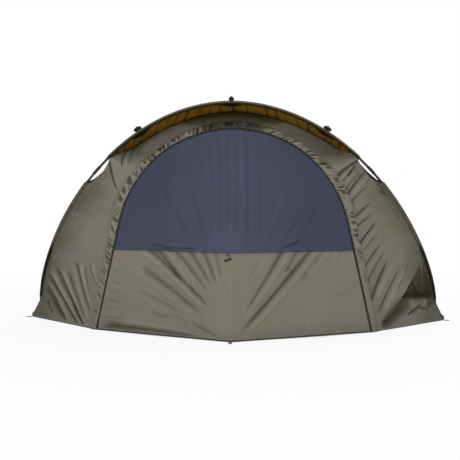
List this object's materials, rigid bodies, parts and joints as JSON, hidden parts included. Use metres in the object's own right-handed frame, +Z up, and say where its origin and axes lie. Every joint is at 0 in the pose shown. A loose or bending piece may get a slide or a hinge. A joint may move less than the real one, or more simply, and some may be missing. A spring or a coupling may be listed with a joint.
{
  "type": "bivvy tent",
  "caption": "Pram-hood fishing bivvy with a peaked front, arched zip door with mesh window, folding ribs, top tension bars and a groundsheet.",
  "frame": {"origin": "on the ground, on the underside of the groundsheet, midway between the two hubs that the ribs turn on", "axes": "+X to the right seen from the front, -Y out of the front door, +Z up"},
  "size_m": [2.9096, 2.5268, 1.4816],
  "materials": {
    "shell_cloth": "matt olive coated cloth",
    "lining_cloth": "translucent ochre underside",
    "mesh_cloth": "fine navy mesh",
    "sheet_cloth": "heavy matt floor cloth",
    "rib_metal": "black satin",
    "ferrule_metal": "black satin",
    "pin_steel": "brushed",
    "black_plastic": "satin moulding",
    "zip_nylon": "satin",
    "black_webbing": "woven"
  },
  "bodies": {
    "base": {"groundsheet": "sheet_cloth", "left_hub": "black_plastic", "right_hub": "black_plastic", "left_pivot_pin": "pin_steel", "right_pivot_pin": "pin_steel", "ground_rib_crown": "rib_metal", "ground_rib_left_leg": "rib_metal", "ground_rib_right_leg": "rib_metal", "ground_rib_left_ferrule": "ferrule_metal", "ground_rib_right_ferrule": "ferrule_metal", "rear_shell": "shell_cloth", "rear_vent_hood": "shell_cloth", "rear_vent_mesh": "mesh_cloth", "peg_loop_rear": "black_webbing"},
    "third_rib": {"third_rib_crown": "rib_metal", "third_rib_left_leg": "rib_metal", "third_rib_right_leg": "rib_metal", "third_rib_left_ferrule": "ferrule_metal", "third_rib_right_ferrule": "ferrule_metal", "main_roof": "shell_cloth"},
    "second_rib": {"second_rib_crown": "rib_metal", "second_rib_left_leg": "rib_metal", "second_rib_right_leg": "rib_metal", "second_rib_left_ferrule": "ferrule_metal", "second_rib_right_ferrule": "ferrule_metal", "hood_roof": "shell_cloth", "hood_lining": "lining_cloth", "bar_rest_left": "black_plastic", "bar_rest_centre": "black_plastic", "bar_rest_right": "black_plastic"},
    "front_rib": {"front_rib_crown": "rib_metal", "front_rib_left_leg": "rib_metal", "front_rib_right_leg": "rib_metal", "front_rib_left_ferrule": "ferrule_metal", "front_rib_right_ferrule": "ferrule_metal", "hood_sleeve": "shell_cloth", "leg_sleeve_left": "shell_cloth", "leg_sleeve_right": "shell_cloth", "front_wing_left": "shell_cloth", "front_wing_right": "shell_cloth", "storm_gutter_left": "shell_cloth", "storm_gutter_right": "shell_cloth", "door_zip_left": "zip_nylon", "door_zip_right": "zip_nylon", "bar_stud_left": "black_plastic", "bar_stud_centre": "black_plastic", "bar_stud_right": "black_plastic", "peg_loop_left": "black_webbing", "peg_loop_right": "black_webbing"},
    "bar_left": {"tension_bar_left": "black_plastic"},
    "bar_centre": {"tension_bar_centre": "black_plastic"},
    "bar_right": {"tension_bar_right": "black_plastic"},
    "door": {"door_skirt": "shell_cloth", "door_mesh": "mesh_cloth", "door_toggle": "black_plastic", "door_toggle_tab": "black_webbing", "peg_loop_front": "black_webbing"},
    "zip_slider_left": {"zip_slider_left": "zip_nylon"},
    "zip_slider_right": {"zip_slider_right": "zip_nylon"}
  },
  "joints": [
    {"name": "fold_third_rib", "type": "hinge", "parent": "base", "child": "third_rib", "pos_m": [0, 0, 0.05], "axis": [-1, 0, 0], "range_deg": [0, 54], "deforming": ["rear_shell", "rear_vent_hood", "rear_vent_mesh"]},
    {"name": "fold_second_rib", "type": "hinge", "parent": "third_rib", "child": "second_rib", "pos_m": [0, 0, 0.05], "axis": [-1, 0, 0], "range_deg": [0, 45], "deforming": ["main_roof"]},
    {"name": "fold_front_rib", "type": "hinge", "parent": "second_rib", "child": "front_rib", "pos_m": [0, 0, 0.05], "axis": [-1, 0, 0], "range_deg": [0, 3.7], "deforming": ["hood_roof", "hood_lining", "front_wing_left", "front_wing_right", "storm_gutter_left", "storm_gutter_right", "door_zip_left", "door_zip_right", "door_skirt", "door_mesh"]},
    {"name": "swing_bar_left", "type": "hinge", "parent": "front_rib", "child": "bar_left", "pos_m": [-0.57136, -0.6084, 1.25967], "axis": [0.4679, -0.1557, -0.87], "range_deg": [0, 90]},
    {"name": "swing_bar_centre", "type": "hinge", "parent": "front_rib", "child": "bar_centre", "pos_m": [0, -0.6951, 1.43205], "axis": [0, -0.134, -0.991], "range_deg": [0, 90]},
    {"name": "swing_bar_right", "type": "hinge", "parent": "front_rib", "child": "bar_right", "pos_m": [0.57136, -0.6084, 1.25967], "axis": [0.4679, 0.1557, 0.87], "range_deg": [0, 90]},
    {"name": "open_door", "type": "hinge", "parent": "front_rib", "child": "door", "pos_m": [0.899, -0.53, 0], "axis": [0, 0, 1], "range_deg": [0, 110]},
    {"name": "slide_zip_left", "type": "slide", "parent": "door", "child": "zip_slider_left", "axis": [0.2161, 0, 0.9764], "range_m": [0, 0.55]},
    {"name": "slide_zip_right", "type": "slide", "parent": "door", "child": "zip_slider_right", "axis": [-0.2161, 0, 0.9764], "range_m": [0, 0.55]}
  ],
  "couplings": [
    {"joint": "fold_second_rib", "follows": "fold_third_rib", "ratio": 0.83333},
    {"joint": "fold_front_rib", "follows": "fold_third_rib", "ratio": 0.068519},
    {"joint": "swing_bar_left", "follows": "fold_third_rib", "ratio": 1.6667},
    {"joint": "swing_bar_centre", "follows": "fold_third_rib", "ratio": 1.6667},
    {"joint": "swing_bar_right", "follows": "fold_third_rib", "ratio": 1.6667}
  ]
}
